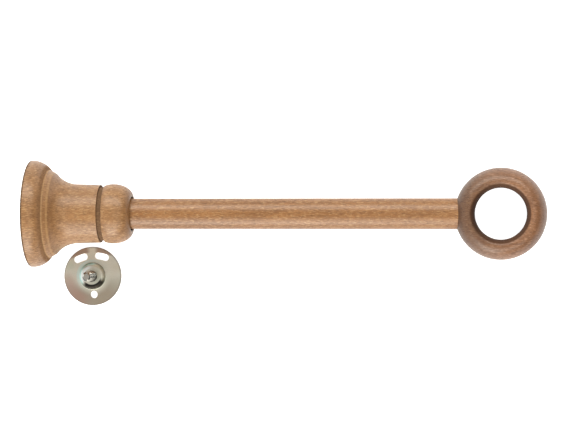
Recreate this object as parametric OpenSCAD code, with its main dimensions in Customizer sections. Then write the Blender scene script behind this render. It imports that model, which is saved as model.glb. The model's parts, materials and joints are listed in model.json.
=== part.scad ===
// Turned wooden bracket for a curtain pole, laid out on a bench beside its steel wall plate.
//
// +X runs from the wall face of the base along the arm to the pole ring, and +Z is up off the bench.
// The origin is the centre of the base's back face. The bracket rests on the rim of its bell and on the
// far edge of its ring, so its arm dips a few degrees below X. The wall plate lies flat, stud up.
// The turned pieces are drawn standing along Z, from the wall face up, and lying() lays them down.

/* [Bell base] */
// Largest radius of the bell, near the wall
bell_r = 31.45; // [28:0.05:36]
// How far the widest point stands off the wall
bell_crest = 1.3; // [0.6:0.1:3]
// Radius of the rounding of the bell's rim
bell_round = 11.45; // [9:0.05:14]
// Length of the rounded rim along the axis
rim_len = 10.7; // [8:0.1:12]
// Depth of the small step where the rounded rim ends
step_d = 0.45; // [0.2:0.05:1]
// Length of the plain sloping band after the step
band_len = 3.8; // [2:0.1:7]
// How much the radius falls over the sloping band
band_drop = 2.2; // [0.5:0.1:3]
// Distance from the wall to where the hollow curve meets the neck
neck_from = 28; // [22:0.5:34]
// Radius of the neck at its start
neck_r = 17.4; // [15:0.1:20]
// How much the neck narrows on its way to the groove
neck_taper = 0.4; // [0:0.05:1]
// Length of the neck
neck_len = 13.6; // [8:0.1:18]

/* [Groove and bead] */
// Width of the turned groove between neck and bead
groove_w = 2.6; // [1.2:0.1:4]
// Depth of the groove below the neck
groove_d = 1.2; // [0.5:0.1:2.5]
// Largest radius of the bead
bead_r = 17.5; // [15:0.1:20]
// Fall of the bead from its crest back to the groove
bead_back_drop = 0.8; // [0.3:0.1:2]
// Length of the bead from the groove to its crest
bead_back = 4.8; // [3:0.1:9]
// Length of the bead from its crest to its front face
bead_front = 11.2; // [8:0.1:15]

/* [Arm] */
// Radius of the dowel arm
arm_r = 9; // [7:0.5:12]
// Depth of the socket that the arm is glued into, from the bead's front
socket_d = 38; // [25:1:40]
// Glue gap round the arm in its sockets
glue_gap = 0.05; // [0.02:0.01:0.2]
// Extra radius at the mouth of the base's socket
mouth_gap = 0.9; // [0.1:0.1:1.5]
// Depth of that wider mouth
mouth_d = 2.5; // [1:0.5:5]
// Radius of the tenon at the arm's far end
tenon_r = 5; // [3:0.5:7]
// Length of the tenon
tenon_len = 5.5; // [3:0.5:8]

/* [Pole ring] */
// Distance from the wall to the centre of the pole
projection = 276; // [120:1:320]
// Radius of the ring's bore, which takes a 28 mm pole
pole_bore_r = 15; // [12:0.5:19]
// Outer radius of the ring
ring_r = 26.7; // [24:0.1:34]
// Radius at which the ring is deepest
ring_crest_r = 18.3; // [17:0.1:22]
// Depth of the ring along its bore
ring_depth = 26; // [22:1:34]
// Length of the straight wall in the middle of the bore
bore_land = 6; // [3:0.5:10]
// Radius, from the ring's centre, of the flat seat that the arm's shoulder meets
arm_seat_r = 22; // [19:0.5:24]

/* [Threaded insert] */
// Thread radius of the wall fixing, M6
thread_r = 3; // [2.5:0.5:4]
// Radius of the insert's body
insert_r = 5; // [4.5:0.1:7]
// Length of the insert
insert_len = 13; // [9:0.5:15]
// Radius of the insert's collar
insert_collar_r = 6.5; // [6:0.1:9]
// Thickness of the insert's collar
insert_collar_t = 1.2; // [0.8:0.1:2]
// Gap round the insert in the wood
insert_gap = 0.02; // [0.01:0.01:0.1]

/* [Wall plate] */
// Radius of the wall plate
plate_r = 17.6; // [15:0.1:21]
// Thickness of the plate's sheet
plate_t = 1.5; // [1:0.1:2.5]
// How far the pressed boss stands above the sheet
boss_h = 2.5; // [1.5:0.1:4]
// Radius of the boss at its foot
boss_r = 7.9; // [6.5:0.1:9]
// Radius of the boss's flat top
boss_top_r = 6.8; // [5:0.1:7.4]
// Radius of the round screw hole
screw_hole_r = 2.25; // [1.75:0.05:2.75]
// Distance of the round screw hole from the plate's centre
screw_hole_offset = 11.2; // [10:0.1:13]
// Distance of the two curved slots from the round hole
slot_swing = 23.4; // [22:0.1:26]
// Angle from the plate's centre line to the middle of each slot, seen from the round hole
slot_angle = 16.4; // [14:0.2:19]
// Angle that each slot's centre line spans
slot_span = 11.6; // [6:0.2:12]
// Width of the slots
slot_w = 4.1; // [3.5:0.1:5]
// Clear depth left for the plate and its screw heads inside the base
recess_d = 5.5; // [4:0.1:8]
// Radial gap between the plate and the recess in the base
recess_gap = 1.9; // [0.5:0.1:3]

/* [Stud] */
// Length of the stud above the boss
stud_len = 12; // [8:0.5:16]
// Radial play of the stud inside an M6 thread
stud_play = 0.05; // [0.02:0.01:0.1]
// Length of the chamfer at the stud's tip
stud_chamfer = 1.2; // [0.5:0.1:2]
// How much wider than the thread, in radius, the shoulder riveted through the boss is
shoulder_step = 0.4; // [0.2:0.05:1]
// Radial gap between that shoulder and its hole
rivet_gap = 0.02; // [0.01:0.01:0.1]
// Radius of the stud's flat head behind the boss
stud_head_r = 4.6; // [4:0.1:5.5]
// Thickness of the stud's head
stud_head_t = 1.8; // [1:0.1:2.5]

/* [Layout on the bench] */
// Distance of the wall plate's centre from the wall face, along X
plate_x = 29; // [20:0.1:60]
// Clear distance from the neck's side to the plate's edge
plate_clear = 2.5; // [1:0.1:20]
// Turn of the wall plate on the bench
plate_turn = 4.4; // [0:0.1:45]

/* [Hidden] */
$fn = 96;
cut = 1;              // how far a cutter reaches past the surface that it opens
arc_steps = 14;       // straight runs that make up each turned curve

rim_end_r = bell_r - bell_round + sqrt(pow(bell_round, 2) - pow(rim_len - bell_crest, 2));
band_end_r = rim_end_r - step_d - band_drop;
cove_from = rim_len + band_len;
groove_from = neck_from + neck_len;
bead_from = groove_from + groove_w;
bead_crest = bead_from + bead_back;
base_len = bead_crest + bead_front;
neck_end_r = neck_r - neck_taper;
mouth_r = arm_r + mouth_gap;
arm_from = base_len - socket_d;
arm_to = projection - arm_seat_r;
recess_r = plate_r + recess_gap;
boss_top = plate_t + boss_h;
stud_r = thread_r - stud_play;
shoulder_r = thread_r + shoulder_step;
thread_chamfer = 0.6; // countersink at the insert's mouth
tenon_end_gap = 0.4;  // glue space past the tenon's end
sheet_bend = 0.75;    // inner edge that the press leaves round the boss

// Angle at which the rim of the bell and the far crest of the ring both touch the bench
lean_run = projection + ring_crest_r - bell_crest;
lean_rise = bell_r - bell_round - ring_depth / 2;
lean = atan(lean_rise / lean_run) + asin(bell_round / norm([lean_run, lean_rise]));
bench_z = -(bell_crest * sin(lean) + (bell_r - bell_round) * cos(lean) + bell_round);
plate_y = -(neck_r + plate_clear + plate_r);

// Lays a piece that was drawn standing on the wall face down along the arm's line.
module lying() rotate([0, 90 + lean, 0]) children();

// Sets a piece that was drawn round the origin down at the wall plate's place on the bench.
module at_plate() translate([plate_x, plate_y, bench_z]) rotate(plate_turn) children();

// Points of an arc of a circle, angles in degrees.
function arc_points(centre, r, from, to) =
    [for (i = [0 : arc_steps]) let (a = from + (to - from) * i / arc_steps)
        centre + r * [cos(a), sin(a)]];

// Points [radius, distance] of a curve that starts at (r0, z0) and runs level into (r1, z1).
function sweep_into(r0, z0, r1, z1) =
    let (run = z1 - z0, rise = r1 - r0, side = sign(rise),
         r = (run * run + rise * rise) / (2 * abs(rise)),
         open = acos((r - abs(rise)) / r))
    [for (i = [0 : arc_steps]) let (a = open * (1 - i / arc_steps))
        [r1 - side * r * (1 - cos(a)), z1 - r * sin(a)]];

// Points of a quarter of an ellipse, from the end of its radial axis to the end of its other one.
function quarter(centre, radial, along) =
    [for (i = [0 : arc_steps]) let (a = 90 * i / arc_steps)
        centre + [radial * cos(a), along * sin(a)]];

function reversed(list) = [for (i = [len(list) - 1 : -1 : 0]) list[i]];
function after_first(list) = [for (i = [1 : len(list) - 1]) list[i]];

// The rounded rim, from the sharp back edge over the widest point to the step.
function rim_curve() =
    arc_points([bell_r - bell_round, bell_crest], bell_round,
               -asin(bell_crest / bell_round), asin((rim_len - bell_crest) / bell_round));

function base_outline() = concat(
    [[0, 0]],
    rim_curve(),
    [[rim_end_r - step_d, rim_len]],
    sweep_into(band_end_r, cove_from, neck_r, neck_from),
    [[neck_end_r, groove_from],
     [neck_end_r - groove_d, groove_from],
     [neck_end_r - groove_d, bead_from]],
    sweep_into(bead_r - bead_back_drop, bead_from, bead_r, bead_crest),
    after_first(quarter([mouth_r, bead_crest], bead_r - mouth_r, bead_front)),
    [[0, base_len]]);

// Bell, neck and bead, turned in one piece, hollowed for the plate, the insert and the arm.
module bell_base() color("burlywood") lying() difference() {
    rotate_extrude() polygon(base_outline());
    translate([0, 0, -cut]) cylinder(r = recess_r, h = recess_d + cut);
    translate([0, 0, recess_d - cut])
        cylinder(r = insert_collar_r + insert_gap, h = insert_collar_t + cut);
    translate([0, 0, recess_d]) cylinder(r = insert_r + insert_gap, h = insert_len);
    translate([0, 0, arm_from]) cylinder(r = arm_r + glue_gap, h = socket_d + cut);
    translate([0, 0, base_len - mouth_d]) cylinder(r = mouth_r, h = mouth_d + cut);
}

// Dowel, glued into the base and reduced to a tenon for the ring.
module arm() color("peru") lying() {
    translate([0, 0, arm_from]) cylinder(r = arm_r, h = arm_to - arm_from);
    translate([0, 0, arm_to - cut]) cylinder(r = tenon_r, h = tenon_len + cut);
}

// The ring's oval section: an outer quarter on each side, and a tighter one down to the bore's land.
function ring_section() =
    let (outer = quarter([ring_crest_r, 0], ring_r - ring_crest_r, ring_depth / 2),
         inner = quarter([ring_crest_r, bore_land / 2],
                         pole_bore_r - ring_crest_r, (ring_depth - bore_land) / 2),
         upper = concat(outer, after_first(reversed(inner))),
         lower = [for (p = reversed(after_first(upper))) [p[0], -p[1]]])
    concat(upper, lower);

// Ring that holds the pole, its bore square to the arm.
module pole_ring() color("sienna") lying() difference() {
    translate([0, 0, projection]) rotate([0, -90, 0]) rotate_extrude() polygon(ring_section());
    translate([0, 0, projection - ring_r - cut])
        cylinder(r = arm_r + glue_gap, h = ring_r + cut - arm_seat_r);
    translate([0, 0, arm_to - cut])
        cylinder(r = tenon_r + glue_gap, h = tenon_len + tenon_end_gap + cut);
}

// Steel insert with an M6 thread, shown as its plain bore.
module threaded_insert() color("silver") lying() translate([0, 0, recess_d]) difference() {
    union() {
        cylinder(r = insert_r, h = insert_len);
        cylinder(r = insert_collar_r, h = insert_collar_t);
    }
    translate([0, 0, -cut]) cylinder(r = thread_r, h = insert_len + 2 * cut);
    translate([0, 0, -cut])
        cylinder(r1 = thread_r + thread_chamfer + cut, r2 = thread_r, h = thread_chamfer + cut);
}

// Section of the pressed sheet: flat flange, sloping shoulder and raised top.
function plate_section() = [
    [shoulder_r + rivet_gap, boss_h],
    [boss_top_r - sheet_bend, boss_h],
    [boss_r - sheet_bend - plate_t / 2, 0],
    [plate_r, 0],
    [plate_r, plate_t],
    [boss_r, plate_t],
    [boss_top_r, boss_top],
    [shoulder_r + rivet_gap, boss_top]];

// One slot, curved about the round screw hole.
module curved_slot(middle) translate([0, -screw_hole_offset, -cut]) {
    rotate(middle - slot_span / 2) rotate_extrude(angle = slot_span)
        translate([slot_swing - slot_w / 2, 0]) square([slot_w, plate_t + 2 * cut]);
    for (side = [-1, 1]) rotate(middle + side * slot_span / 2)
        translate([slot_swing, 0, 0]) cylinder(r = slot_w / 2, h = plate_t + 2 * cut);
}

// Pressed steel disc: the round hole takes the pivot screw and the slots allow it to be levelled.
module wall_plate() color("darkkhaki") at_plate() difference() {
    rotate_extrude() polygon(plate_section());
    translate([0, -screw_hole_offset, -cut]) cylinder(r = screw_hole_r, h = plate_t + 2 * cut);
    for (side = [-1, 1]) curved_slot(90 + side * slot_angle);
}

// M6 stud, headed behind the boss and riveted through it, with a chamfered tip.
module plate_stud() color("lightslategray") at_plate() {
    translate([0, 0, boss_h - stud_head_t]) cylinder(r = stud_head_r, h = stud_head_t);
    translate([0, 0, boss_h - stud_head_t]) cylinder(r = shoulder_r, h = stud_head_t + plate_t);
    translate([0, 0, boss_h]) cylinder(r = stud_r, h = plate_t + stud_len - stud_chamfer);
    translate([0, 0, boss_top + stud_len - stud_chamfer])
        cylinder(r1 = stud_r, r2 = stud_r - stud_chamfer, h = stud_chamfer);
}

bell_base();
arm();
pole_ring();
threaded_insert();
wall_plate();
plate_stud();
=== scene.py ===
"""Turned wooden curtain pole bracket and its zinc plated wall plate, lying on a white table."""

import json
import math

import bmesh
import bpy
from mathutils import Matrix, Vector


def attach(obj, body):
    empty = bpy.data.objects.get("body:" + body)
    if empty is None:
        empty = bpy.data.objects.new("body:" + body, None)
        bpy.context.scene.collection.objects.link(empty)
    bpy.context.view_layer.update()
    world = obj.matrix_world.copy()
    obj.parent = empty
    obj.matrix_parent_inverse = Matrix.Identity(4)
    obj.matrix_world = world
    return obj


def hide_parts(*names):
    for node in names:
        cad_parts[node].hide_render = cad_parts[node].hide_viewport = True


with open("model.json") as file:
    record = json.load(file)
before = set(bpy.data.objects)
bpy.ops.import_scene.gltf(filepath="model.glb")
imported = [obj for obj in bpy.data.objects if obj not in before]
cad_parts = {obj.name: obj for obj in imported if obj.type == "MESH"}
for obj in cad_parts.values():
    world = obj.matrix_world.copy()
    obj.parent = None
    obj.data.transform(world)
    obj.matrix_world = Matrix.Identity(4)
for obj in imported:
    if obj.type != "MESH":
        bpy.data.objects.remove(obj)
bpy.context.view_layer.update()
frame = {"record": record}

MM = 0.001
ROUND = 2 * math.pi

# ---------------------------------------------------------------- places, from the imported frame

mounts = {m["name"]: m for m in frame["record"]["mounts"]}
wall_out = Vector(mounts["wall_face"]["axis"]).normalized()
pole_centre = Vector(mounts["pole_bore"]["pos_m"])
plate_centre = Vector(mounts["plate_back"]["pos_m"])
pivot_hole = Vector(mounts["pivot_screw_hole"]["pos_m"])

lean = math.atan2(wall_out.z, -wall_out.x)  # how far the arm dips below X
projection = pole_centre.length / MM
hole_way = pivot_hole - plate_centre
plate_turn = math.atan2(hole_way.x, -hole_way.y)
screw_hole_offset = math.hypot(hole_way.x, hole_way.y) / MM
bench_z = plate_centre.z

# Turned pieces are drawn standing on the wall face along Z, then laid down along the arm.
LYING = Matrix.Rotation(math.pi / 2 + lean, 4, "Y")
AT_PLATE = Matrix.Translation(plate_centre) @ Matrix.Rotation(plate_turn, 4, "Z")

# ---------------------------------------------------------------- sizes, millimetres

bell_r, bell_crest, bell_round, rim_len = 31.45, 1.3, 11.45, 10.7
step_d, band_len, band_drop = 0.45, 3.8, 2.2
neck_from, neck_r, neck_taper, neck_len = 28, 17.4, 0.4, 13.6
groove_w, groove_d = 2.6, 1.2
bead_r, bead_back_drop, bead_back, bead_front = 17.5, 0.8, 4.8, 11.2
arm_r, socket_d, glue_gap = 9, 38, 0.05
mouth_gap, mouth_d, mouth_lip = 0.9, 2.5, 0.7
tenon_r, tenon_len, tenon_end_gap = 5, 5.5, 0.4
pole_bore_r = mounts["pole_bore"]["dims"]["r_mm"]
bore_land = mounts["pole_bore"]["dims"]["length_mm"]
ring_r, ring_crest_r, ring_depth, arm_seat_r = 26.7, 18.3, 26, 22
thread_r = mounts["insert_thread"]["dims"]["r_mm"]
stud_r = mounts["stud"]["dims"]["r_mm"]
thread_pitch, thread_depth, thread_chamfer = 1.0, 0.54, 0.6
insert_r, insert_len, insert_collar_r, insert_collar_t = 5, 13, 6.5, 1.2
press_gap = 0.02  # round pieces that are pressed or riveted in
plate_r, plate_t, boss_h, boss_r, boss_top_r = 17.6, 1.5, 2.5, 7.9, 6.8
boss_wall_in, bend_inside, bend_foot, bend_top = 0.75, 0.5, 0.9, 1.2
screw_hole_r = mounts["pivot_screw_hole"]["dims"]["r_mm"]
slot_swing, slot_angle, slot_span, slot_w = 23.4, 16.4, 11.6, 4.1
recess_d, recess_gap = 5.5, 1.9
stud_len, stud_chamfer, shoulder_r = 12, 1.2, 3.4
stud_head_r, stud_head_t = 4.6, 1.8

cove_from = rim_len + band_len
groove_from = neck_from + neck_len
bead_from = groove_from + groove_w
bead_crest = bead_from + bead_back
base_len = bead_crest + bead_front
arm_from = base_len - socket_d
arm_to = projection - arm_seat_r
boss_top = plate_t + boss_h
rim_end_r = bell_r - bell_round + math.sqrt(bell_round**2 - (rim_len - bell_crest) ** 2)
band_end_r = rim_end_r - step_d - band_drop

# ---------------------------------------------------------------- outlines, as (radius, distance)


def arc(centre, radius, start, end, steps=28):
    """Points of a circle's arc, angles in radians."""
    turns = [start + (end - start) * i / steps for i in range(steps + 1)]
    return [(centre[0] + radius * math.cos(a), centre[1] + radius * math.sin(a)) for a in turns]


def quarter(centre, radial, along, steps=28):
    """A quarter of an ellipse, from the end of its radial axis to the end of its other one."""
    turns = [math.pi / 2 * i / steps for i in range(steps + 1)]
    return [(centre[0] + radial * math.cos(a), centre[1] + along * math.sin(a)) for a in turns]


def sweep_into(start, end, steps=28):
    """A circular curve from start that runs level into end."""
    run, rise = end[1] - start[1], end[0] - start[0]
    side = math.copysign(1, rise)
    radius = (run * run + rise * rise) / (2 * abs(rise))
    opening = math.acos((radius - abs(rise)) / radius)
    turns = [opening * (1 - i / steps) for i in range(steps + 1)]
    return [(end[0] - side * radius * (1 - math.cos(a)), end[1] - radius * math.sin(a))
            for a in turns]


def base_outline():
    """From the bottom of the insert's hole, round the outside, to the bottom of the arm's socket."""
    neck_end_r = neck_r - neck_taper
    mouth_r = arm_r + mouth_gap
    back = [(0, recess_d + insert_len), (insert_r + press_gap, recess_d + insert_len),
            (insert_r + press_gap, recess_d + insert_collar_t),
            (insert_collar_r + press_gap, recess_d + insert_collar_t),
            (insert_collar_r + press_gap, recess_d),
            (plate_r + recess_gap, recess_d), (plate_r + recess_gap, 0)]
    rim = arc((bell_r - bell_round, bell_crest), bell_round, -math.asin(bell_crest / bell_round),
              math.asin((rim_len - bell_crest) / bell_round), 48)
    neck = [(rim_end_r - step_d, rim_len)] + sweep_into((band_end_r, cove_from), (neck_r, neck_from))
    groove = [(neck_end_r, groove_from), (neck_end_r - groove_d, groove_from),
              (neck_end_r - groove_d, bead_from)]
    bead = sweep_into((bead_r - bead_back_drop, bead_from), (bead_r, bead_crest), 12)
    nose = quarter((mouth_r + mouth_lip, bead_crest), bead_r - mouth_r - mouth_lip, bead_front, 36)[1:]
    lip = arc((mouth_r + mouth_lip, base_len - mouth_lip), mouth_lip, math.pi / 2, math.pi, 8)[1:]
    socket = [(mouth_r, base_len - mouth_d), (arm_r + glue_gap, base_len - mouth_d),
              (arm_r + glue_gap, arm_from), (0, arm_from)]
    return back + rim + neck + groove + bead + nose + lip + socket


def arm_outline():
    return [(0, arm_from), (arm_r, arm_from), (arm_r, arm_to), (tenon_r, arm_to),
            (tenon_r, arm_to + tenon_len), (0, arm_to + tenon_len)]


def ring_outline():
    """The ring's oval section, closed, about its bore."""
    outer = quarter((ring_crest_r, 0), ring_r - ring_crest_r, ring_depth / 2, 32)
    inner = quarter((ring_crest_r, bore_land / 2), pole_bore_r - ring_crest_r,
                    (ring_depth - bore_land) / 2, 24)
    upper = outer + inner[-2::-1]
    return upper + [(r, -z) for r, z in upper[:0:-1]]


def rounded_corner(before, corner, after, radius, steps=6):
    """An arc of that radius, touching the two straight runs that meet at corner."""
    c, a, b = Vector(corner), Vector(before), Vector(after)
    to_a, to_b = (a - c).normalized(), (b - c).normalized()
    half = to_a.angle(to_b) / 2
    centre = c + (to_a + to_b).normalized() * radius / math.sin(half)
    first, last = (p - centre for p in
                   (c + to_a * radius / math.tan(half), c + to_b * radius / math.tan(half)))
    swing = first.angle_signed(last)
    return [tuple(centre + Matrix.Rotation(-swing * i / steps, 2) @ first) for i in range(steps + 1)]


def plate_outline():
    """The pressed sheet, closed: flat flange, boss with rounded foot and rounded top."""
    hole_r = shoulder_r + press_gap
    ceiling = (boss_top_r - boss_wall_in, boss_h)
    hollow = (boss_r - boss_wall_in - plate_t / 2, 0)
    foot, top = (boss_r, plate_t), (boss_top_r, boss_top)
    return ([(hole_r, boss_h)]
            + rounded_corner((hole_r, boss_h), ceiling, hollow, bend_inside)
            + rounded_corner(ceiling, hollow, (plate_r, 0), bend_inside)
            + [(plate_r, 0), (plate_r, plate_t)]
            + rounded_corner((plate_r, plate_t), foot, top, bend_foot)
            + rounded_corner(foot, top, (hole_r, boss_top), bend_top)
            + [(hole_r, boss_top)])


# ---------------------------------------------------------------- mesh work


SHARP_FROM = 35  # degrees between faces


def piece_from(bm, name, place, sharp_from=SHARP_FROM):
    """The finished bmesh as an object at the origin, its place in its mesh, in metres."""
    bmesh.ops.recalc_face_normals(bm, faces=bm.faces)
    for face in bm.faces:
        face.smooth = True
    mesh = bpy.data.meshes.new(name)
    bm.to_mesh(mesh)
    bm.free()
    mesh.transform(place @ Matrix.Scale(MM, 4))
    mesh.set_sharp_from_angle(angle=math.radians(sharp_from))
    piece = bpy.data.objects.new(name, mesh)
    bpy.context.scene.collection.objects.link(piece)
    return piece


def turn_on_lathe(outline, closed=False, steps=192):
    """A bmesh of an outline of (radius, distance) points spun about Z."""
    bm = bmesh.new()
    verts = [bm.verts.new((r, 0, z)) for r, z in outline]
    edges = [bm.edges.new(pair) for pair in zip(verts, verts[1:])]
    if closed:
        edges.append(bm.edges.new((verts[-1], verts[0])))
    bmesh.ops.spin(bm, geom=verts + edges, cent=(0, 0, 0), axis=(0, 0, 1), angle=ROUND,
                   steps=steps, use_merge=True)
    bmesh.ops.remove_doubles(bm, verts=bm.verts, dist=0.0005)
    return bm


def soften(piece, width, angle=30):
    """Breaks the sharp edges, as sanding or tumbling does."""
    bevel = piece.modifiers.new("broken edges", "BEVEL")
    bevel.width, bevel.segments = width * MM, 3
    bevel.limit_method, bevel.angle_limit = "ANGLE", math.radians(angle)
    bevel.harden_normals = True


def rod(radius, start, end, steps=96):
    """A capped cylinder along Z."""
    return turn_on_lathe([(0, start), (radius, start), (radius, end), (0, end)], steps=steps)


def cut_away(piece, cutters):
    """Takes the cutters out of the piece and removes them."""
    for cutter in cutters:
        cutting = piece.modifiers.new("cut", "BOOLEAN")
        cutting.operation, cutting.solver, cutting.object = "DIFFERENCE", "EXACT", cutter
    done = piece.evaluated_get(bpy.context.evaluated_depsgraph_get())
    mesh = bpy.data.meshes.new_from_object(done)
    piece.modifiers.clear()
    piece.data = mesh
    mesh.set_sharp_from_angle(angle=math.radians(SHARP_FROM))
    for cutter in cutters:
        bpy.data.objects.remove(cutter)


def finish_piece(piece, node, body, material):
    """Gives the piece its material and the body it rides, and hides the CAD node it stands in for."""
    piece.data.materials.clear()
    piece.data.materials.append(material)
    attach(piece, body)
    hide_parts(node)


# ---------------------------------------------------------------- shader helpers


def add_node(tree, kind, inputs=None, **settings):
    """A node with its settings, and its inputs joined to sockets or set to values."""
    node = tree.nodes.new(kind)
    for name, value in settings.items():
        setattr(node, name, value)
    for key, value in (inputs or {}).items():
        if isinstance(value, bpy.types.NodeSocket):
            tree.links.new(value, node.inputs[key])
        else:
            node.inputs[key].default_value = value
    return node


def maths(tree, operation, a, b=0.0, clamp=False):
    return add_node(tree, "ShaderNodeMath", {0: a, 1: b}, operation=operation,
                    use_clamp=clamp).outputs[0]


def times(tree, a, b):
    return maths(tree, "MULTIPLY", a, b)


def plus(tree, a, b, clamp=False):
    return maths(tree, "ADD", a, b, clamp)


def all_but(tree, value):
    return maths(tree, "SUBTRACT", 1.0, value)


def measure(tree, operation, a, b=(0, 0, 0)):
    """A number from two vectors, or from the first alone: DOT_PRODUCT, DISTANCE or LENGTH."""
    return add_node(tree, "ShaderNodeVectorMath", {0: a, 1: b},
                    operation=operation).outputs["Value"]


def mix_colour(tree, share, a, b, blend="MIX"):
    return add_node(tree, "ShaderNodeMix", {0: share, 6: a, 7: b}, data_type="RGBA",
                    blend_type=blend).outputs[2]


def fade(tree, value, start, end):
    """0 at start and before it, 1 at end and past it, smooth between; start can be the larger."""
    return add_node(tree, "ShaderNodeMapRange", {0: value, 1: start, 2: end, 3: 0.0, 4: 1.0},
                    interpolation_type="SMOOTHSTEP").outputs[0]


def between(tree, value, start, end, soft):
    """1 from start to end, fading to 0 over soft on either side."""
    return times(tree, fade(tree, value, start - soft, start), fade(tree, value, end + soft, end))


def stretched_noise(tree, vector, size, offset=(0, 0, 0), detail=2.0, rough=0.5):
    """Noise whose blobs have that size along each axis, in millimetres."""
    at = add_node(tree, "ShaderNodeMapping", {"Vector": vector, "Location": offset,
                                              "Scale": [1 / s for s in size]})
    return add_node(tree, "ShaderNodeTexNoise", {"Vector": at.outputs[0], "Scale": 1.0,
                                                 "Detail": detail, "Roughness": rough}
                    ).outputs[0]


def new_group(name, inputs, outputs):
    """A node group with those sockets, and its input and output nodes."""
    group = bpy.data.node_groups.new(name, "ShaderNodeTree")
    for way, sockets in (("INPUT", inputs), ("OUTPUT", outputs)):
        for label, kind in sockets:
            group.interface.new_socket(label, in_out=way, socket_type=kind)
    return group, group.nodes.new("NodeGroupInput"), group.nodes.new("NodeGroupOutput")


VECTOR, COLOUR, FLOAT = "NodeSocketVector", "NodeSocketColor", "NodeSocketFloat"


def new_material(name):
    """A material with no nodes yet, and its node tree."""
    material = bpy.data.materials.new(name)
    material.use_nodes = True
    material.node_tree.nodes.clear()
    return material, material.node_tree


def finish_surface(tree, height, strength, distance, inputs):
    """The material's output: a principled surface with bumps of that height."""
    bump = add_node(tree, "ShaderNodeBump", {"Height": height, "Strength": strength,
                                             "Distance": distance * MM})
    surface = add_node(tree, "ShaderNodeBsdfPrincipled", {"Normal": bump.outputs[0], **inputs})
    out = add_node(tree, "ShaderNodeOutputMaterial")
    tree.links.new(surface.outputs[0], out.inputs[0])


# ---------------------------------------------------------------- stained beech


def make_beech_group():
    """Stained beech, grain along X and rays along Z, in millimetres: streaks, rays, pores."""
    group, given, out = new_group(
        "stained beech",
        [("Vector", VECTOR), ("Light", COLOUR), ("Dark", COLOUR), ("Ray", COLOUR),
         ("Pale", COLOUR), ("End Grain", FLOAT), ("Lacquer", FLOAT)],
        [("Colour", COLOUR), ("Roughness", FLOAT), ("Gloss", FLOAT), ("Height", FLOAT)])
    vector = given.outputs["Vector"]
    year_depth, year_wander = 3.1, 14.0

    wander = stretched_noise(group, vector, (110, 22, 22))
    depth = add_node(group, "ShaderNodeSeparateXYZ", {0: vector}).outputs[2]
    years = plus(group, depth, times(group, wander, year_wander))
    wave = maths(group, "SINE", times(group, years, ROUND / year_depth))
    late_wood = fade(group, wave, -0.3, 1.0)
    streaks = stretched_noise(group, vector, (30, 1.1, 1.6), detail=4.0, rough=0.65)
    blotches = stretched_noise(group, vector, (34, 10, 10), (7, 3, 1), detail=3.0)
    rays = stretched_noise(group, vector, (2.6, 0.42, 1.9), (3, 0, 0), detail=1.5)
    fine_rays = stretched_noise(group, vector, (1.3, 0.3, 1.0), (0, 5, 0), detail=1.0)
    pale = stretched_noise(group, vector, (2.4, 0.4, 1.8), (0, 0, 9), detail=1.5)

    end_grain = given.outputs["End Grain"]
    patches = plus(group, times(group, late_wood, 0.2),
                   times(group, fade(group, blotches, 0.36, 0.64), 0.38))
    tone = plus(group, times(group, fade(group, streaks, 0.32, 0.68), 0.42), patches)
    tone = plus(group, tone, times(group, end_grain, 0.5), clamp=True)
    colour = mix_colour(group, tone, given.outputs["Light"], given.outputs["Dark"])
    ray_mask = plus(group, times(group, fade(group, rays, 0.54, 0.66), 0.5),
                    times(group, fade(group, fine_rays, 0.56, 0.7), 0.4), clamp=True)
    pale_mask = times(group, fade(group, pale, 0.52, 0.66), 0.62)
    pale_share = times(group, pale_mask, all_but(group, end_grain))
    colour = mix_colour(group, pale_share, colour, given.outputs["Pale"])
    colour = mix_colour(group, ray_mask, colour, given.outputs["Ray"])

    roughness = plus(group, 0.36, times(group, ray_mask, 0.25))
    gloss = times(group, given.outputs["Lacquer"], all_but(group, ray_mask))
    height = plus(group, times(group, streaks, 0.6),
                  maths(group, "SUBTRACT", pale_mask, ray_mask))
    for label, socket in (("Colour", colour), ("Roughness", roughness), ("Gloss", gloss),
                          ("Height", height)):
        group.links.new(socket, out.inputs[label])
    return group


def darkened(shade, share):
    return (*[c * share for c in shade], 1)


def darken_bore(tree, place, ray, colour, rough, gloss):
    """Painted shade on the ring: darker on its side towards the base, and darker in the bore with no
    gloss and more roughness there.
    """
    shade_full, shade_end, gloss_full = 16.7, 17.6, 18.5
    along, across = place.outputs[0], place.outputs[1]
    from_pole = add_node(tree, "ShaderNodeCombineXYZ", {
        0: maths(tree, "SUBTRACT", along, projection), 1: across})
    reach = measure(tree, "LENGTH", from_pole.outputs[0])
    # painted shade: the ring's side towards the base is darkened
    far_side = fade(tree, along, projection + 10, projection - ring_r)
    colour = mix_colour(tree, far_side, colour, (0.55, 0.58, 0.6, 1), blend="MULTIPLY")
    # painted shade inside the bore
    bore = fade(tree, reach, shade_end, shade_full)
    colour = mix_colour(tree, times(tree, bore, 0.85), colour, darkened(ray, 0.8))
    rough = plus(tree, rough, times(tree, bore, 0.45))
    gloss = times(tree, gloss, fade(tree, reach, shade_full, gloss_full))
    return colour, rough, gloss


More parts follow.
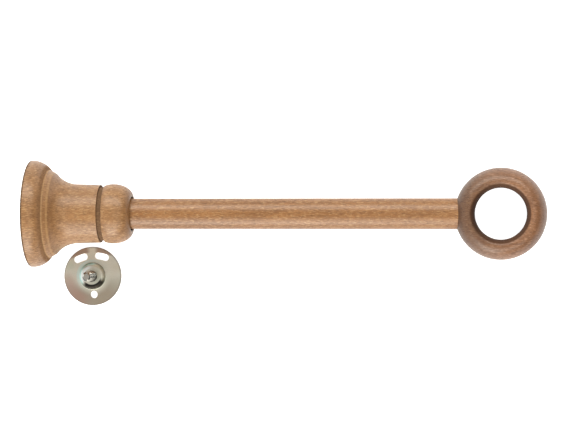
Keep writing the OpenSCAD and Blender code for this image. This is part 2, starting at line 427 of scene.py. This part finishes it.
def beech(name, group, shades, lacquer, shift, stains_and_shade=(), highlight_lines=(), dark_bore=False):
    """A lacquered piece of stained beech, its grain along the arm. A stain or painted shade is (from,
    to, out to radius, soft edge, strength) and a painted highlight line (from, to, soft edge), in mm
    along the arm."""
    material, tree = new_material(name)
    ray, pale = shades[2:]
    place = add_node(tree, "ShaderNodeTexCoord")
    in_line = add_node(tree, "ShaderNodeMapping", {
        "Vector": place.outputs["Object"], "Scale": (1 / MM,) * 3, "Rotation": (0, -lean, 0)})
    shifted = add_node(tree, "ShaderNodeVectorMath", {0: in_line.outputs[0], 1: shift},
                       operation="ADD")
    facing = measure(tree, "DOT_PRODUCT", place.outputs["Normal"], tuple(-wall_out))
    end_grain = fade(tree, maths(tree, "ABSOLUTE", facing), 0.3, 0.95)
    wood = add_node(tree, "ShaderNodeGroup", {
        "Vector": shifted.outputs[0], "End Grain": end_grain, "Lacquer": lacquer}, node_tree=group)
    for label, shade in zip(("Light", "Dark", "Ray", "Pale"), shades):
        wood.inputs[label].default_value = (*shade, 1)
    colour, rough, gloss = (wood.outputs[o] for o in ("Colour", "Roughness", "Gloss"))

    in_place = add_node(tree, "ShaderNodeSeparateXYZ", {0: in_line.outputs[0]})
    along = in_place.outputs[0]
    off_axis = add_node(tree, "ShaderNodeCombineXYZ", {1: in_place.outputs[1],
                                                       2: in_place.outputs[2]})
    radius = measure(tree, "LENGTH", off_axis.outputs[0])
    # each band is darkened and loses its gloss: stain and painted shade in the groove, painted shade
    # on the rim, in the mouth and on the arm in the socket, and a darker back
    for start, end, reach, soft, strength in stains_and_shade:
        inside = times(tree, between(tree, along, start, end, soft),
                       fade(tree, radius, reach + soft, reach))
        colour = mix_colour(tree, times(tree, inside, strength), colour, darkened(ray, 0.35))
        rough = plus(tree, rough, times(tree, inside, 0.35))
        gloss = times(tree, gloss, all_but(tree, inside))
    # painted highlight lines along edges
    for start, end, soft in highlight_lines:
        line = between(tree, along, start, end, soft)
        colour = mix_colour(tree, times(tree, line, 0.28), colour, (*pale, 1))
    if dark_bore:
        colour, rough, gloss = darken_bore(tree, in_place, ray, colour, rough, gloss)

    finish_surface(tree, wood.outputs["Height"], 0.35, 0.08, {
        "Base Color": colour, "Roughness": rough, "Coat Weight": gloss, "Coat Roughness": 0.26,
        "Specular IOR Level": 0.36})
    return material


# ---------------------------------------------------------------- zinc plating


def make_zinc_group():
    """Passivated zinc on rolled steel: pale metal with drifting straw, green and pink tints."""
    group, given, out = new_group(
        "passivated zinc",
        [("Vector", VECTOR), ("Metal", COLOUR), ("Tint", FLOAT), ("Roughness", FLOAT)],
        [("Colour", COLOUR), ("Roughness", FLOAT), ("Height", FLOAT)])
    vector = given.outputs["Vector"]
    drift = stretched_noise(group, vector, (14, 11, 14), (2, 5, 0))
    warm = stretched_noise(group, vector, (9, 12, 9), (0, 11, 3))
    speckle = stretched_noise(group, vector, (0.5, 0.5, 0.5), detail=3.0, rough=0.65)
    rolling = stretched_noise(group, vector, (0.25, 14, 0.25), detail=3.0)

    def tinted(colour, mask, tint, strength):
        share = times(group, times(group, mask, strength), given.outputs["Tint"])
        return mix_colour(group, share, colour, tint)

    green, pink = (0.46, 0.55, 0.42, 1), (0.62, 0.42, 0.36, 1)
    straw, grey = (0.62, 0.55, 0.38, 1), (0.35, 0.33, 0.28, 1)
    colour = tinted(given.outputs["Metal"], fade(group, drift, 0.45, 0.7), green, 0.4)
    colour = tinted(colour, fade(group, warm, 0.5, 0.7), pink, 0.2)
    colour = tinted(colour, fade(group, drift, 0.5, 0.3), straw, 0.5)
    colour = tinted(colour, fade(group, speckle, 0.45, 0.8), grey, 0.35)
    rough = plus(group, given.outputs["Roughness"],
                 times(group, maths(group, "SUBTRACT", speckle, 0.5), 0.25))
    height = plus(group, speckle, times(group, rolling, 0.6))
    for label, socket in (("Colour", colour), ("Roughness", rough), ("Height", height)):
        group.links.new(socket, out.inputs[label])
    return group


def plate_light_and_shade(tree, at, colour):
    """Painted light and shade on the pressed plate: painted highlights on its upper side and, bluish,
    on the boss's left shoulder, top and foot; painted shade low down, pinker to the lower left, at the
    rim and round the boss's foot; a dark painted reflection in a crescent under the boss and a brown
    painted reflection of the wooden base past the slots. Sides are measured from the plate's centre."""
    parts = add_node(tree, "ShaderNodeSeparateXYZ", {0: at})
    flat = add_node(tree, "ShaderNodeCombineXYZ", {0: parts.outputs[0],
                                                   1: parts.outputs[1]}).outputs[0]
    radius = measure(tree, "LENGTH", flat)
    outward = add_node(tree, "ShaderNodeVectorMath", {0: flat}, operation="NORMALIZE").outputs[0]

    def towards(x, y, start, end):
        """0 to 1 as the way out from the centre turns to (x, y)."""
        return fade(tree, measure(tree, "DOT_PRODUCT", outward, (x, y, 0)), start, end)

    def beyond(start, end):
        return fade(tree, radius, start, end)

    def ring_of(inner, outer, soft):
        return between(tree, radius, inner, outer, soft)

    past_boss_top = fade(tree, measure(tree, "DISTANCE", flat, (0, 0.7, 0)), 5.5, 6.1)
    boss_slope = times(tree, past_boss_top, beyond(boss_r + 0.4, boss_r + 0.1))
    # dark painted reflection in a crescent on the boss's lower shoulder
    crescent = times(tree, boss_slope, towards(0.22, -0.97, 0.3, 0.7))
    # painted shade low down on the plate, pinker towards the lower left
    low_side = times(tree, towards(0.1, -0.99, -0.1, 0.85), beyond(7.5, 12.5))
    low_left = times(tree, towards(-0.78, -0.62, 0.6, 0.98), beyond(9.0, 14.5))
    # painted highlight on the plate's upper side
    high_side = times(tree, towards(0, 1, 0.6, 1.0), beyond(17.3, 16.0))
    # painted shade: a dark outline along the rim
    rim = beyond(plate_r - 0.7, plate_r - 0.1)

    # painted reflection of the wooden base on the strips past the slots
    slots_end = slot_swing + slot_w / 2
    past_slots = fade(tree, measure(tree, "DISTANCE", flat, tuple(hole_way / MM)),
                      slots_end - 0.3, slots_end + 0.3)
    past_left_slot = times(tree, past_slots, towards(-0.5, 0.87, 0.90, 0.975))
    past_right_slot = times(tree, past_slots, towards(0.42, 0.91, 0.93, 0.985))

    # painted highlights, bluish and white, on the boss's left shoulder, top and the flange's foot
    bright_side = towards(-0.87, 0.5, 0.1, 0.6)
    boss_shoulder = times(tree, ring_of(6.6, boss_r, 0.4), bright_side)
    boss_gleam = times(tree, ring_of(4.9, 6.5, 0.6), towards(-0.9, 0.43, 0.25, 0.8))
    flange_foot = times(tree, ring_of(boss_r + 0.3, boss_r + 1.4, 1.2),
                        towards(-0.8, 0.6, -0.2, 1.0))
    # painted shade in the crease round the boss's foot
    foot_line = times(tree, ring_of(boss_r, boss_r + 0.15, 0.22),
                      all_but(tree, times(tree, bright_side, 0.7)))

    # colour of the painted reflection of the wooden base
    wood_reflection = (0.36, 0.20, 0.135, 1)
    for mask, strength, shade in (
            (high_side, 0.7, (0.86, 0.80, 0.66, 1)), (low_side, 0.85, (0.37, 0.30, 0.225, 1)),
            (low_left, 0.55, (0.50, 0.28, 0.225, 1)), (past_left_slot, 0.75, wood_reflection),
            (past_right_slot, 0.75, wood_reflection), (flange_foot, 0.6, (0.62, 0.80, 0.76, 1)),
            (boss_shoulder, 0.8, (0.60, 0.90, 0.86, 1)), (boss_gleam, 0.9, (0.95, 1.0, 0.98, 1)),
            (crescent, 0.98, (0.012, 0.01, 0.009, 1)), (foot_line, 0.65, (0.14, 0.16, 0.13, 1)),
            (rim, 0.6, (0.17, 0.14, 0.11, 1))):
        colour = mix_colour(tree, times(tree, mask, strength), colour, shade)
    return colour


def stud_light_and_shade(tree, at, colour):
    """Painted shade on the stud's lower side and on the lower half of its up-facing faces, deepest
    near the foot, and a painted highlight on the flat of its tip.
    """
    normal = add_node(tree, "ShaderNodeTexCoord").outputs["Normal"]
    facing = add_node(tree, "ShaderNodeSeparateXYZ", {0: normal})
    across, up = facing.outputs[1], facing.outputs[2]
    parts = add_node(tree, "ShaderNodeSeparateXYZ", {0: at})
    side, height = parts.outputs[1], parts.outputs[2]
    # painted shade: faces turned towards -Y, and up-facing faces on the lower half
    on_top = times(tree, fade(tree, up, 0.8, 0.98), fade(tree, side, 2.5, -1.0))
    lower_shade = maths(tree, "MAXIMUM", fade(tree, across, 0.25, -0.35), on_top)
    near_foot = fade(tree, height, boss_top + 8, boss_top + 3)
    lower_shade = times(tree, lower_shade, plus(tree, 0.76, times(tree, near_foot, 0.18)))
    colour = mix_colour(tree, lower_shade, colour, (0.02, 0.017, 0.015, 1))
    stud_end = boss_top + stud_len
    # painted highlight on the tip's flat end
    tip = times(tree, fade(tree, up, 0.85, 0.98), fade(tree, height, stud_end - 2, stud_end - 1))
    return mix_colour(tree, tip, colour, (0.62, 0.57, 0.49, 1))


def zinc(name, group, metal, tint, roughness, paint_light_and_shade=None):
    """Zinc plating; the last argument, if given, paints light and shade onto one piece."""
    material, tree = new_material(name)
    place = add_node(tree, "ShaderNodeTexCoord").outputs["Object"]
    in_mm = add_node(tree, "ShaderNodeMapping", {
        "Vector": place, "Scale": (1 / MM,) * 3,
        "Location": tuple(-plate_centre / MM)}).outputs[0]
    plating = add_node(tree, "ShaderNodeGroup", {
        "Vector": in_mm, "Metal": metal, "Tint": tint, "Roughness": roughness}, node_tree=group)
    colour = plating.outputs["Colour"]
    if paint_light_and_shade:
        colour = paint_light_and_shade(tree, in_mm, colour)
    finish_surface(tree, plating.outputs["Height"], 0.05, 0.05, {
        "Base Color": colour, "Metallic": 1.0, "Roughness": plating.outputs["Roughness"]})
    return material


# ---------------------------------------------------------------- wooden pieces


def make_base(material):
    base = piece_from(turn_on_lathe(base_outline()), "turned_bell_base", LYING)
    soften(base, 0.22)
    finish_piece(base, "bell_base", "bracket", material)


def make_arm(material):
    dowel = piece_from(turn_on_lathe(arm_outline(), steps=128), "dowel_arm", LYING)
    soften(dowel, 0.3)
    finish_piece(dowel, "arm", "bracket", material)


def make_ring(material):
    upright = Matrix.Translation((0, 0, projection * MM)) @ Matrix.Rotation(-math.pi / 2, 4, "Y")
    ring = piece_from(turn_on_lathe(ring_outline(), closed=True), "turned_pole_ring",
                      LYING @ upright)
    seat = rod(arm_r + glue_gap, projection - ring_r - 2, arm_to)
    hole = rod(tenon_r + glue_gap, arm_to - 1, arm_to + tenon_len + tenon_end_gap)
    cut_away(ring, [piece_from(seat, "seat", LYING), piece_from(hole, "hole", LYING)])
    finish_piece(ring, "pole_ring", "bracket", material)


# ---------------------------------------------------------------- metal pieces


def thread_surface(outer, start, end):
    """A bmesh of a helical thread about Z, its crest at outer, that reaches past start and end."""
    steps = 64
    root = outer - thread_depth
    root_flat, crest_flat = 1 / 4, 1 / 8  # shares of the pitch
    flank = (1 - root_flat - crest_flat) / 2
    crest = root_flat + flank
    tooth = [(root, 0), (root, root_flat), (outer, crest), (outer, crest + crest_flat), (root, 1)]
    bm = bmesh.new()
    verts = [bm.verts.new((r, 0, start - thread_pitch + z * thread_pitch)) for r, z in tooth]
    edges = [bm.edges.new(pair) for pair in zip(verts, verts[1:])]
    turns = math.ceil((end - start) / thread_pitch) + 1
    bmesh.ops.spin(bm, geom=verts + edges, cent=(0, 0, 0), axis=(0, 0, 1), angle=ROUND * turns,
                   steps=steps * turns, dvec=(0, 0, thread_pitch / steps))
    bmesh.ops.remove_doubles(bm, verts=bm.verts, dist=0.002)
    return bm


def make_plate(material):
    plate = piece_from(turn_on_lathe(plate_outline(), closed=True), "pressed_wall_plate", AT_PLATE)
    pivot = Matrix.Translation((0, -screw_hole_offset * MM, 0))
    over = 1
    tools = [piece_from(rod(screw_hole_r, -over, plate_t + over), "pivot tool", AT_PLATE @ pivot)]
    for side in (-1, 1):
        swing = Matrix.Rotation(math.radians(90 + side * slot_angle), 4, "Z")
        tools.append(piece_from(slot_cutter(over), "slot tool", AT_PLATE @ pivot @ swing))
    cut_away(plate, tools)
    soften(plate, 0.18, angle=40)
    finish_piece(plate, "wall_plate", "wall_fixing", material)


def slot_cutter(over):
    """A bar with round ends, curved about the screw hole, its middle on X."""
    half_span, half_w = math.radians(slot_span / 2), slot_w / 2
    outline = []
    for way, radius in ((1, slot_swing + half_w), (-1, slot_swing - half_w)):
        last = way * half_span
        outline += arc((0, 0), radius, -last, last, 8)
        end = (slot_swing * math.cos(last), slot_swing * math.sin(last))
        first = last + (0 if way > 0 else math.pi)
        outline += arc(end, half_w, first, first + math.pi, 16)[1:-1]
    bm = bmesh.new()
    face = bm.faces.new([bm.verts.new((x, y, -over)) for x, y in outline])
    raised = bmesh.ops.extrude_face_region(bm, geom=[face])["geom"]
    bmesh.ops.translate(bm, verts=[v for v in raised if isinstance(v, bmesh.types.BMVert)],
                        vec=(0, 0, plate_t + 2 * over))
    return bm


def make_stud(material):
    """The threaded stud, cut off level and chamfered, and the rivet head that holds it."""
    tip = boss_top + stud_len
    shoulder_top = boss_top + 0.02
    bm = thread_surface(stud_r, boss_top, tip)
    for vert in bm.verts:
        height = min(max(vert.co.z, boss_top), tip)
        limit = stud_r - max(0, height - (tip - stud_chamfer))
        reach = math.hypot(vert.co.x, vert.co.y)
        shrink = min(1, limit / reach)
        vert.co = (vert.co.x * shrink, vert.co.y * shrink, height)
    bmesh.ops.remove_doubles(bm, verts=bm.verts, dist=0.004)
    bmesh.ops.dissolve_degenerate(bm, dist=0.002, edges=bm.edges)
    bmesh.ops.holes_fill(bm, edges=bm.edges, sides=0)
    threaded = piece_from(bm, "threaded_stud", AT_PLATE, sharp_from=25)
    head = [(0, boss_h - stud_head_t), (stud_head_r, boss_h - stud_head_t), (stud_head_r, boss_h),
            (shoulder_r, boss_h), (shoulder_r, shoulder_top), (0, shoulder_top)]
    rivet = piece_from(turn_on_lathe(head, steps=96), "stud_rivet_head", AT_PLATE)
    soften(rivet, 0.15)
    finish_piece(threaded, "plate_stud", "wall_fixing", material)
    finish_piece(rivet, "plate_stud", "wall_fixing", material)


def make_insert(material):
    tapped_from = recess_d + thread_chamfer
    bottom = recess_d + insert_len
    outline = [(thread_r, bottom), (insert_r, bottom), (insert_r, recess_d + insert_collar_t),
               (insert_collar_r, recess_d + insert_collar_t), (insert_collar_r, recess_d),
               (thread_r + thread_chamfer, recess_d), (thread_r, tapped_from)]
    turned = turn_on_lathe(outline, closed=True, steps=96)
    insert = piece_from(turned, "threaded_insert_sleeve", LYING)
    soften(insert, 0.12)
    finish_piece(insert, "threaded_insert", "bracket", material)


# ---------------------------------------------------------------- light, table and camera


def soft_box(name, place, aim, width, height, watts):
    """A rectangular light that faces aim, slightly warm."""
    data = bpy.data.lights.new(name, "AREA")
    data.shape, data.size, data.size_y, data.energy = "RECTANGLE", width, height, watts
    data.color = (1.0, 0.94, 0.85)
    light = bpy.data.objects.new(name, data)
    light.location = place
    light.rotation_euler = (Vector(aim) - Vector(place)).to_track_quat("-Z", "Y").to_euler()
    bpy.context.scene.collection.objects.link(light)


def make_table():
    """A white table top that glows to the camera and, less, in reflections."""
    half_width = 6000
    bm = bmesh.new()
    bmesh.ops.create_grid(bm, x_segments=2, y_segments=2, size=half_width)
    table = piece_from(bm, "white_table", Matrix.Translation((0, 0, bench_z)))
    paint = bpy.data.materials.new("white table")
    paint.use_nodes = True
    tree = paint.node_tree
    surface = tree.nodes["Principled BSDF"]
    surface.inputs["Base Color"].default_value = (0.62, 0.62, 0.62, 1)
    surface.inputs["Roughness"].default_value = 0.8
    surface.inputs["Specular IOR Level"].default_value = 0.0
    surface.inputs["Emission Color"].default_value = (1, 1, 1, 1)
    path = add_node(tree, "ShaderNodeLightPath")
    glow = plus(tree, times(tree, path.outputs["Is Camera Ray"], 0.95),
                times(tree, path.outputs["Is Glossy Ray"], 0.5))
    tree.links.new(glow, surface.inputs["Emission Strength"])
    table.data.materials.append(paint)


def make_world():
    """A pale studio, brightest to the left and dim to the right, seen as white."""
    world = bpy.data.worlds.new("studio")
    bpy.context.scene.world = world
    world.use_nodes = True
    tree = world.node_tree
    tree.nodes.clear()
    way = add_node(tree, "ShaderNodeTexCoord").outputs["Generated"]
    bright_side = measure(tree, "DOT_PRODUCT", way, (-0.92, 0.2, 0.34))
    height = add_node(tree, "ShaderNodeSeparateXYZ", {0: way}).outputs[2]
    walls = mix_colour(tree, fade(tree, bright_side, -0.85, 0.75), (0.10, 0.095, 0.09, 1),
                       (0.95, 1.0, 1.02, 1))
    colour = mix_colour(tree, fade(tree, height, 0.6, 0.95), walls, (0.5, 0.5, 0.5, 1))
    seen = add_node(tree, "ShaderNodeLightPath").outputs["Is Camera Ray"]
    colour = mix_colour(tree, seen, colour, (1, 1, 1, 1))
    light = add_node(tree, "ShaderNodeBackground", {"Color": colour, "Strength": 1.0})
    out = add_node(tree, "ShaderNodeOutputWorld")
    tree.links.new(light.outputs[0], out.inputs[0])


def make_camera():
    """Above the ring, turned a little towards the base, with the whole kit in view."""
    over_along, over_aside, distance = 277 * MM, -2.2 * MM, 1200 * MM
    aim_along, aim_width, sensor = 153.5 * MM, 336.9 * MM, 36.0
    along, off_arm = -wall_out, Vector((wall_out.z, 0, -wall_out.x))
    aside = Vector((0, 1, 0))
    place = along * over_along + aside * over_aside + off_arm * distance
    back = (place - along * aim_along - aside * over_aside).normalized()
    data = bpy.data.cameras.new("camera")
    data.sensor_width = sensor
    data.lens = sensor * distance / aim_width
    data.clip_start, data.clip_end = 10 * MM, 50
    camera = bpy.data.objects.new("camera", data)
    turn = Matrix((aside.cross(back), aside, back)).transposed().to_4x4()
    camera.matrix_world = Matrix.Translation(place) @ turn
    bpy.context.scene.collection.objects.link(camera)
    bpy.context.scene.camera = camera


make_table()
make_world()
make_camera()
soft_box("far soft box", (0.24, 0.75, 0.62), aim=(0.24, 0, 0), width=1.5, height=0.5, watts=13.6)
soft_box("near soft box", (0.24, -0.75, 0.62), aim=(0.24, 0, 0), width=1.5, height=0.5, watts=8.8)
soft_box("high strip", (0.6, 0, 0.95), aim=(0.277, 0, 0), width=0.1, height=0.7, watts=0.8)
soft_box("low fill", (0.02, -0.8, 0.2), aim=(0.03, 0, 0), width=0.5, height=0.35, watts=4.2)
bpy.context.scene.view_settings.view_transform = "Standard"

beech_group = make_beech_group()
honey = ((0.283, 0.144, 0.057), (0.185, 0.089, 0.033), (0.09, 0.039, 0.014), (0.45, 0.275, 0.124))
amber = ((0.262, 0.12, 0.039), (0.165, 0.07, 0.021), (0.085, 0.033, 0.01), (0.4, 0.235, 0.105))
walnut = ((0.23, 0.109, 0.05), (0.14, 0.062, 0.029), (0.072, 0.029, 0.012), (0.34, 0.19, 0.11))
# stain pooled in the groove, with painted shade in it
groove_stain_and_shade = (groove_from, bead_from, bell_r, 0.12, 0.6)
dark_back = (-5, 0.7, 40, 0.5, 0.7)
rim_shade = (rim_len - 1.0, rim_len - 0.1, bell_r, 1.2, 0.18)
# painted shadow in the gap of the arm's mouth
mouth_painted_shadow = (base_len - mouth_d - 1, base_len, mouth_gap + arm_r + 0.2, 0.3, 0.9)
# painted shadow on the arm where it goes into the socket
socket_painted_shadow = (arm_from, base_len - 0.8, 12, 0.6, 0.8)
# painted highlight lines along the step and the band's edge
step_edge = (rim_len + 0.2, rim_len + 0.6, 0.5)
band_edge = (cove_from - 0.9, cove_from - 0.4, 0.6)
make_base(beech("stained beech base", beech_group, honey, 0.2, (0, 0, 0),
                stains_and_shade=[groove_stain_and_shade, dark_back, rim_shade, mouth_painted_shadow],
                highlight_lines=[step_edge, band_edge]))
make_arm(beech("stained beech arm", beech_group, amber, 0.32, (40, 13, 7), stains_and_shade=[socket_painted_shadow]))
make_ring(beech("stained beech ring", beech_group, walnut, 0.2, (11, 31, 23), dark_bore=True))

zinc_group = make_zinc_group()
make_plate(zinc("passivated zinc plate", zinc_group, (0.73, 0.69, 0.58, 1), 0.8, 0.42,
                paint_light_and_shade=plate_light_and_shade))
make_stud(zinc("bright zinc stud", zinc_group, (0.55, 0.55, 0.52, 1), 0.3, 0.22,
               paint_light_and_shade=stud_light_and_shade))
make_insert(zinc("zinc insert", zinc_group, (0.62, 0.55, 0.38, 1), 0.6, 0.3))
